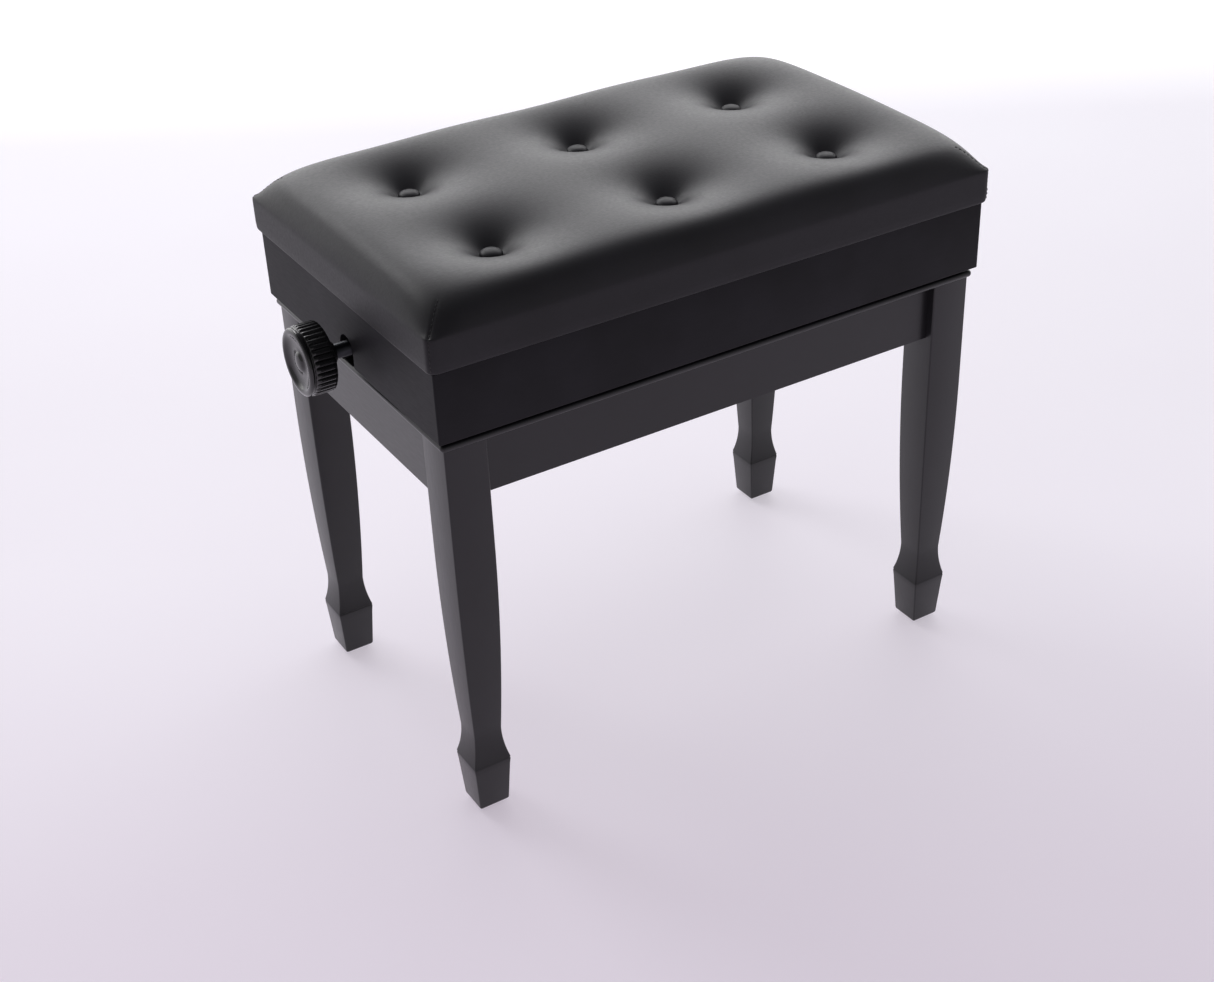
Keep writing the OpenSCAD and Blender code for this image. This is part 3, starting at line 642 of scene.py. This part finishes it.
notch_outline = []
for i in range(notch_steps + 1):
    turn = math.pi * i / notch_steps
    notch_outline.append((notch_r * math.cos(turn), rod_z + notch_r * math.sin(turn)))
notch_outline += [(side * notch_r, board_low.z - notch_clear) for side in (-1, 1)]
for side, sign in (("left", -1), ("right", 1)):
    ends = (board_high.x - board_t - notch_clear, board_high.x + notch_clear)
    points, faces = loft([[(sign * x, y, z) for y, z in notch_outline] for x in ends])
    cutter = add_piece("notch_cutter", points, faces, dull["Y"], "seat")
    board = box_sides[side]
    cut = board.modifiers.new("notch", "BOOLEAN")
    cut.object = cutter
    cut.solver = "EXACT"
    made = applied_mesh(board)
    for face in made.polygons:
        face.use_smooth = face.area < flat_face_area
    board.modifiers.clear()
    board.data = made
    bpy.data.objects.remove(cutter)


# ---------------------------------------------------------------- blocks, cleats and seat board
# Pine blocks and cleats glued inside the box, and a plywood board on the cleats that carries
# the foam and the cover.

def raw_wood(name, light, dark, band, grain_axis):
    """Bare sanded softwood or veneer: pale, dull, with bands of early and late wood."""
    material, shader = new_material(name, {"IOR": 1.5, "Roughness": 0.68})
    place = add_node(material, "ShaderNodeTexCoord").outputs["Object"]
    scale = [0.06 / band if axis == grain_axis else 1 / band for axis in "XYZ"]
    along = add_node(material, "ShaderNodeMapping", {"Vector": place}, {"Scale": scale})
    figure = add_node(material, "ShaderNodeTexNoise", {"Vector": along.outputs["Vector"]},
                      {"Scale": 1, "Detail": 5, "Roughness": 0.55, "Distortion": 0.6})
    colour = add_node(material, "ShaderNodeValToRGB", {"Fac": figure.outputs["Fac"]}, stops=[
        (0.35, linear(dark)), (0.65, linear(light)),
    ])
    fibre = add_node(material, "ShaderNodeBump", {"Height": figure.outputs["Fac"]},
                     {"Strength": 0.4, "Distance": 0.1 * MM})
    material.node_tree.links.new(colour.outputs["Color"], shader.inputs["Base Color"])
    material.node_tree.links.new(fibre.outputs["Normal"], shader.inputs["Normal"])
    return material


pine = raw_wood("sanded pine", "#d9bd8c", "#b88f58", 5 * MM, "X")
birch_ply = raw_wood("birch plywood", "#d2b186", "#b08a5c", 9 * MM, "X")
finish_node("corner_blocks", pine, 0.8)
finish_node("cleats", pine, 0.8)
finish_node("seat_board", birch_ply, 0.5)


# ---------------------------------------------------------------- cushion
# A foam slab on the seat board under a cover of black vinyl, pulled tight over the edges and
# drawn down by six buttons. The cover is mitred and stitched at each corner.

def black_vinyl():
    """PVC on a knit backing: near black, a leather-like fine grain and a soft broad sheen.
    The real grain is about 0.7 mm; it is drawn at 1.5 mm so that it shows."""
    grain_size = 1.5 * MM
    material, shader = new_material("black vinyl", {"IOR": 1.53, "Specular IOR Level": 0.22})
    place = add_node(material, "ShaderNodeTexCoord").outputs["Object"]
    pebbles = add_node(material, "ShaderNodeTexVoronoi", {"Vector": place},
                       {"Scale": 1 / grain_size}, feature="SMOOTH_F1")
    creases = add_node(material, "ShaderNodeTexNoise", {"Vector": place},
                       {"Scale": 0.5 / grain_size, "Detail": 4, "Roughness": 0.6})
    cloud = add_node(material, "ShaderNodeTexNoise", {"Vector": place}, {"Scale": 14, "Detail": 3})
    colour = add_node(material, "ShaderNodeValToRGB", {"Fac": cloud.outputs["Fac"]}, stops=[
        (0.3, linear("#222124")), (0.7, linear("#28272b")),
    ])
    gloss = add_node(material, "ShaderNodeMapRange", {"Value": creases.outputs["Fac"]},
                     {"From Min": 0.3, "From Max": 0.7, "To Min": 0.42, "To Max": 0.50})
    pebbled = add_node(material, "ShaderNodeBump", {"Height": pebbles.outputs["Distance"]},
                       {"Strength": 0.35, "Distance": 0.12 * MM})
    creased = add_node(material, "ShaderNodeBump",
                       {"Height": creases.outputs["Fac"], "Normal": pebbled.outputs["Normal"]},
                       {"Strength": 0.3, "Distance": 0.12 * MM})
    tree = material.node_tree.links
    tree.new(colour.outputs["Color"], shader.inputs["Base Color"])
    tree.new(gloss.outputs["Result"], shader.inputs["Roughness"])
    tree.new(creased.outputs["Normal"], shader.inputs["Normal"])
    return material


vinyl = black_vinyl()
cover_low, cover_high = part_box("cushion_cover")
seat_low, seat_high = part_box("seat_board")
button_low, button_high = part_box("tufting_buttons")
cushion_x, cushion_y = cover_high.x, cover_high.y
button_r = 9.3 * MM
button_x = button_high.x - button_r
button_y = button_high.y - button_r
buttons = [(x, y) for x in (-button_x, 0, button_x) for y in (-button_y, button_y)]
button_z = button_low.z
knuckle_z = seat_low.z + 28 * MM
crown_rise = 32 * MM
shoulder_fall = 7 * MM
slope_fall = 34 * MM
slope_share = 0.2
corner_droop = 27 * MM
corner_r = 7 * MM
dimple_reach = 31 * MM
dimple_foot_r = button_r + 0.2 * MM


def grid_lines(half, focus):
    """Places of the grid's lines: fine at the edges and near the buttons, coarse between."""
    t = np.linspace(-half, half, 4001)
    density = np.full_like(t, 1 / (6 * MM))
    density += (1 / (1.4 * MM)) * np.exp(-(half - np.abs(t)) / (9 * MM))
    for place in focus:
        density += (1 / (4.5 * MM)) * np.exp(-((t - place) / (15 * MM)) ** 2)
    total = np.concatenate([[0], np.cumsum((density[1:] + density[:-1]) / 2 * np.diff(t))])
    count = 2 * round(total[-1] / 2)
    return np.interp(np.linspace(0, total[-1], count + 1), total, t)


def crown_height(x, y):
    """Height of the cover's top: full over a boxy shoulder, lower at the corners, and drawn
    down around each button."""
    dx, dy = cushion_x - abs(x), cushion_y - abs(y)
    full = 1
    for inward in (dx, dy):
        full *= (1 - (1 - slope_share) * math.exp(-inward / shoulder_fall)
                 - slope_share * math.exp(-inward / slope_fall))
    z = knuckle_z + crown_rise * full * (1 - math.exp(-(dx + dy) / corner_droop))
    for bx, by in buttons:
        away = max(math.hypot(x - bx, y - by) - dimple_foot_r, 0) / dimple_reach
        z -= (z - button_z) * math.exp(-away ** 0.95)
    return z


def rounded_corner(x, y):
    """A point of the rectangle moved so that the rectangle's corners become round."""
    cx, cy = cushion_x - corner_r, cushion_y - corner_r
    a, b = (abs(x) - cx) / corner_r, (abs(y) - cy) / corner_r
    if a <= 0 or b <= 0:
        return x, y
    u, v = a * math.sqrt(1 - b * b / 2), b * math.sqrt(1 - a * a / 2)
    return math.copysign(cx + u * corner_r, x), math.copysign(cy + v * corner_r, y)


lines_x = grid_lines(cushion_x, (-button_x, 0, button_x))
lines_y = grid_lines(cushion_y, (-button_y, button_y))
columns, rows = len(lines_x), len(lines_y)
points, faces = [], []
for y in lines_y:
    for x in lines_x:
        px, py = rounded_corner(x, y)
        points.append((px, py, crown_height(x, y)))
for j in range(rows - 1):
    for i in range(columns - 1):
        k = j * columns + i
        faces.append((k, k + 1, k + columns + 1, k + columns))

border = list(range(columns))
border += [j * columns + columns - 1 for j in range(1, rows)]
border += [(rows - 1) * columns + i for i in range(columns - 2, -1, -1)]
border += [j * columns for j in range(rows - 2, 0, -1)]
board_gap = 0.15 * MM
hem_z = cover_low.z
inner_z = seat_low.z - board_gap
# (distance in from the cushion's side, height) down the side, under the hem and round the board
skirt = [(-0.1 * MM, knuckle_z - 1.4 * MM), (-0.2 * MM, knuckle_z - 3 * MM)]
skirt += [(-0.2 * MM, knuckle_z - h * MM) for h in (5, 7.5, 10, 12.5, 15, 17.5, 20, 22)]
skirt += [(0, hem_z + 5 * MM), (0.1 * MM, hem_z + 2.6 * MM), (0.35 * MM, hem_z + 1.4 * MM),
          (1.1 * MM, hem_z + 0.4 * MM), (2.4 * MM, hem_z)]
skirt += [(12 * MM, hem_z), (21.4 * MM, hem_z), (22 * MM, hem_z + 0.3 * MM), (22 * MM, inner_z)]
skirt += [(12 * MM, inner_z), (1.6 * MM, inner_z), (1.1 * MM, inner_z)]
skirt += [(1.1 * MM, seat_high.z + board_gap), (20 * MM, seat_high.z + board_gap)]
previous = border
for inset, z in skirt:
    start = len(points)
    share_x, share_y = (cushion_x - inset) / cushion_x, (cushion_y - inset) / cushion_y
    for k in border:
        x, y = points[k][0], points[k][1]
        points.append((x * share_x, y * share_y, z))
    ring = list(range(start, start + len(border)))
    for i in range(len(border)):
        j = (i + 1) % len(border)
        faces.append((previous[i], previous[j], ring[j], ring[i]))
    previous = ring
inner = dict(zip(border, previous))
for j in range(1, rows - 1):
    for i in range(1, columns - 1):
        k = j * columns + i
        inner[k] = len(points)
        points.append((points[k][0] * share_x, points[k][1] * share_y, seat_high.z + board_gap))
for j in range(rows - 1):
    for i in range(columns - 1):
        k = j * columns + i
        faces.append((inner[k], inner[k + columns], inner[k + columns + 1], inner[k + 1]))
cushion = add_piece("tufted_cushion", points, faces, vinyl, "seat",
                    ["cushion_cover", "foam_pad"], sharp_angle=180)


def settle_cloth(piece, frames, limit):
    """Lets the cover settle as cloth: foam under it pushes out and holds it near its place, its
    own tension smooths it, and it is fast at the buttons, the sides and the hem."""
    rest = np.array([v.co for v in piece.data.vertices])
    held = piece.vertex_groups.new(name="held")
    for vertex in piece.data.vertices:
        x, y, z = vertex.co
        from_button = min(math.hypot(x - bx, y - by) for bx, by in buttons)
        from_edge = min(cushion_x - abs(x), cushion_y - abs(y))
        firm = z < knuckle_z + 0.2 * MM or from_edge < 1 * MM
        firm = firm or from_button < dimple_foot_r + 3 * MM
        held.add([vertex.index], 1.0 if firm else 0.25, "REPLACE")
    cloth = piece.modifiers.new("settle", "CLOTH")
    cloth.settings.quality = 5
    cloth.settings.mass = 0.4
    cloth.settings.air_damping = 5
    cloth.settings.tension_stiffness = 40
    cloth.settings.compression_stiffness = 40
    cloth.settings.shear_stiffness = 20
    cloth.settings.bending_stiffness = 2
    cloth.settings.use_pressure = True
    cloth.settings.uniform_pressure_force = 6
    cloth.settings.vertex_group_mass = "held"
    cloth.settings.pin_stiffness = 1
    cloth.settings.effector_weights.gravity = 0
    cloth.collision_settings.use_collision = False
    cloth.point_cache.frame_start = 1
    cloth.point_cache.frame_end = frames
    for step in range(1, frames + 1):
        bpy.context.scene.frame_set(step)
    settled = piece.evaluated_get(bpy.context.evaluated_depsgraph_get()).data
    moved = np.array([v.co for v in settled.vertices]) - rest
    length = np.linalg.norm(moved, axis=1, keepdims=True)
    moved *= limit * np.tanh(length / limit) / np.maximum(length, 1e-9)
    piece.modifiers.remove(cloth)
    piece.vertex_groups.remove(held)
    piece.data.vertices.foreach_set("co", (rest + moved).ravel())
    bpy.context.scene.frame_set(1)


settle_cloth(cushion, 16, 4 * MM)
finer = cushion.modifiers.new("finer", "SUBSURF")
finer.levels = finer.render_levels = 1
smooth_mesh = applied_mesh(cushion)
cushion.modifiers.clear()
cushion.data = smooth_mesh

seam_reach = 23 * MM
seam_width = 0.75 * MM
seam_depth = 0.5 * MM
places = np.array([v.co for v in smooth_mesh.vertices])
outward = np.array([v.normal for v in smooth_mesh.vertices])
dx, dy = cushion_x - np.abs(places[:, 0]), cushion_y - np.abs(places[:, 1])
across = (dx - dy) / math.sqrt(2)
near_corner = (places[:, 2] > hem_z + 0.5 * MM) & (np.maximum(dx, dy) < 1.6 * seam_reach)
on_top = (outward[:, 2] > -0.2) & (places[:, 2] > seat_high.z)
on_side = np.minimum(dx, dy) < 1 * MM
fade = np.clip((seam_reach + 3 * MM - np.maximum(dx, dy)) / (6 * MM), 0, 1)
fade *= near_corner & (on_top | on_side)
lips = 0.2 * np.exp(-((np.abs(across) - 2.2 * MM) / (1.2 * MM)) ** 2)
groove = np.exp(-(across / seam_width) ** 2)
places += outward * (seam_depth * fade * (lips - groove))[:, None]
smooth_mesh.vertices.foreach_set("co", places.ravel())
smooth_mesh.update()


# ---------------------------------------------------------------- stitches
# Black bonded nylon thread along each mitred corner, up the side and in over the shoulder.

def bonded_thread():
    """Twisted black thread with a slight sheen."""
    material, shader = new_material("black bonded nylon thread", {"IOR": 1.53, "Roughness": 0.55})
    place = add_node(material, "ShaderNodeTexCoord").outputs["Object"]
    twist = add_node(material, "ShaderNodeTexNoise", {"Vector": place},
                     {"Scale": 2500, "Detail": 2})
    colour = add_node(material, "ShaderNodeValToRGB", {"Fac": twist.outputs["Fac"]}, stops=[
        (0.3, linear("#0e0e10")), (0.7, linear("#242427")),
    ])
    material.node_tree.links.new(colour.outputs["Color"], shader.inputs["Base Color"])
    return material


stitch_pitch = 3.6 * MM
stitch_l = 2.5 * MM
stitch_r = 0.38 * MM
stitch_sides = 8
# how far a stitch's middle stands over the vinyl, and how much lower its ends are
stitch_rise, stitch_sink = 0.15 * MM, 0.3 * MM
corner_path = [(0, knuckle_z - h * MM) for h in np.arange(25, 1, -stitch_pitch / MM)]
corner_path += [(d, 1) for d in np.arange(2.2 * MM, seam_reach, 0.95 * stitch_pitch / math.sqrt(2))]
stitch_points, stitch_faces = [], []
for sx in (-1, 1):
    for sy in (-1, 1):
        spots = []
        for inward, z in corner_path:
            if inward:
                x, y = sx * (cushion_x - inward), sy * (cushion_y - inward)
                z = crown_height(x, y)
            else:
                inset = corner_r * (1 - math.sqrt(0.5))
                x, y = sx * (cushion_x - inset), sy * (cushion_y - inset)
            _, spot, normal, _ = cushion.closest_point_on_mesh(Vector((x, y, z)))
            spots.append((spot, normal))
        for i, (spot, normal) in enumerate(spots):
            before, after = spots[max(i - 1, 0)][0], spots[min(i + 1, len(spots) - 1)][0]
            along = (after - before).normalized()
            side = along.cross(normal).normalized()
            rings = []
            for share in (-1, -0.85, -0.4, 0, 0.4, 0.85, 1):
                radius = stitch_r * max(math.sqrt(1 - share ** 4), 0.15)
                lift = stitch_rise - stitch_sink * share ** 2
                middle = spot + along * (stitch_l / 2 * share) + normal * lift
                ring = []
                for k in range(stitch_sides):
                    turn = 2 * math.pi * k / stitch_sides
                    around = math.cos(turn) * side + math.sin(turn) * normal
                    ring.append(tuple(middle + radius * around))
                rings.append(ring)
            points, faces = loft(rings)
            start = len(stitch_points)
            stitch_points += points
            stitch_faces += [tuple(start + k for k in face) for face in faces]
add_piece("corner_stitches", stitch_points, stitch_faces, bonded_thread(), "seat")


# ---------------------------------------------------------------- buttons
# Metal shells covered in the same vinyl, pulled down on waxed twine through foam and board.

# (radius, height over the button's flat underside) in millimetres
button_outline = [
    (0, 5.7), (2, 5.63), (4.2, 5.4), (6, 4.95), (7.6, 4.2), (8.7, 3.2), (9.2, 2.1), (9.2, 1.1),
    (8.6, 0.3), (7, 0),
]
button_sides = 40
button_air = 0.1
button_points, button_faces = [], []
for bx, by in buttons:
    rings = []
    for radius, height in button_outline:
        r = max(radius, 0.05) * MM
        z = button_z + (height + button_air) * MM
        ring = []
        for i in range(button_sides):
            turn = 2 * math.pi * i / button_sides
            ring.append((bx + r * math.cos(turn), by + r * math.sin(turn), z))
        rings.append(ring)
    points, faces = loft(rings)
    start = len(button_points)
    button_points += points
    button_faces += [tuple(start + i for i in face) for face in faces]
add_piece("covered_buttons", button_points, button_faces, vinyl, "seat",
          ["tufting_buttons"], sharp_angle=60)
finish_node("tufting_twines", nylon, 0.2)


# ---------------------------------------------------------------- studio
# A table of milky white acrylic that runs on as the backdrop. Its glow is painted light, brighter
# to the back, that keeps shadows faint. The bench is lit from behind and from the left, and the
# room over it is dark.

away_from_camera = Vector((-backwards.x, -backwards.y, 0)).normalized()


def acrylic_with_painted_glow():
    """Milky white acrylic with a painted glow, brighter to the back and faintly lilac."""
    material, shader = new_material("acrylic with painted glow", {
        "Roughness": 0.6, "IOR": 1.45, "Specular IOR Level": 0.3,
    })
    place = add_node(material, "ShaderNodeTexCoord").outputs["Object"]
    cloud = add_node(material, "ShaderNodeTexNoise", {"Vector": place}, {"Scale": 2, "Detail": 2})
    colour = add_node(material, "ShaderNodeValToRGB", {"Fac": cloud.outputs["Fac"]}, stops=[
        (0.3, linear("#b9b5bd")), (0.7, linear("#bdbac1")),
    ])
    # painted glow: the floor's emission rises towards the back and fills in the shadows in place of
    # the studio's light
    depth = add_node(material, "ShaderNodeVectorMath", {0: place}, {1: away_from_camera},
                     operation="DOT_PRODUCT")
    share = add_node(material, "ShaderNodeMapRange", {"Value": depth.outputs["Value"]},
                     {"From Min": -0.6, "From Max": 1.8})
    painted_glow = add_node(material, "ShaderNodeValToRGB", {"Fac": share.outputs["Result"]}, stops=[
        (0.0, linear("#b8adba")), (0.1, linear("#bab0bc")), (0.3, linear("#c6c1c9")),
        (0.45, linear("#c6c2c9")), (0.8, linear("#ceccd2")), (1.0, linear("#ffffff")),
    ])
    tree = material.node_tree.links
    tree.new(colour.outputs["Color"], shader.inputs["Base Color"])
    tree.new(painted_glow.outputs["Color"], shader.inputs["Emission Color"])
    shader.inputs["Emission Strength"].default_value = 0.85
    return material


floor_mesh = bpy.data.meshes.new("floor")
floor_mesh.from_pydata([(-6, -6, 0), (6, -6, 0), (6, 6, 0), (-6, 6, 0)], [], [(0, 1, 2, 3)])
floor_mesh.materials.append(acrylic_with_painted_glow())
floor = bpy.data.objects.new("floor", floor_mesh)
bpy.context.collection.objects.link(floor)

world = bpy.data.worlds.new("studio")
bpy.context.scene.world = world
world.use_nodes = True
sky = world.node_tree.nodes["Background"]
direction = add_node(world, "ShaderNodeTexCoord").outputs["Generated"]
parts = add_node(world, "ShaderNodeSeparateXYZ", {"Vector": direction})
by_height = add_node(world, "ShaderNodeValToRGB", {"Fac": parts.outputs["Z"]}, stops=[
    (0.0, linear("#ffffff")), (0.35, linear("#f6f5f8")), (0.55, linear("#a8a7ac")),
    (0.8, linear("#4c4b50")),
])
facing = add_node(world, "ShaderNodeVectorMath", {0: direction}, {1: away_from_camera},
                  operation="DOT_PRODUCT")
strength = add_node(world, "ShaderNodeMapRange", {"Value": facing.outputs["Value"]},
                    {"From Min": 0.1, "From Max": 0.6, "To Min": 0.35, "To Max": 2.1},
                    interpolation_type="SMOOTHSTEP")
world.node_tree.links.new(by_height.outputs["Color"], sky.inputs["Color"])
world.node_tree.links.new(strength.outputs["Result"], sky.inputs["Strength"])


def add_softbox(name, place, aim, width, depth, power, colour, mirrored=True, lights=True):
    """A rectangular soft light aimed at a point, either seen mirrored in the bench, or
    lighting it, or both."""
    data = bpy.data.lights.new(name, "AREA")
    data.shape = "RECTANGLE"
    data.size = width
    data.size_y = depth
    data.energy = power
    data.color = linear(colour)[:3]
    light = bpy.data.objects.new(name, data)
    light.location = place
    light.rotation_euler = (Vector(aim) - Vector(place)).to_track_quat("-Z", "Y").to_euler()
    light.visible_glossy = mirrored
    light.visible_diffuse = lights
    bpy.context.collection.objects.link(light)


add_softbox("fill", (0.2, 0.3, 3.0), (0, 0, 0), 3.0, 3.0, 26, "#ffffff", mirrored=False)
add_softbox("back left", (-0.75, 2.2, 2.2), (0, 0, 0.4), 1.3, 0.9, 18, "#ffffff")
add_softbox("backdrop", (1.55, 2.56, 1.9), (0, 0, 0.4), 4.0, 2.4, 45, "#ffffff", lights=False)

bpy.context.scene.view_settings.view_transform = "Standard"
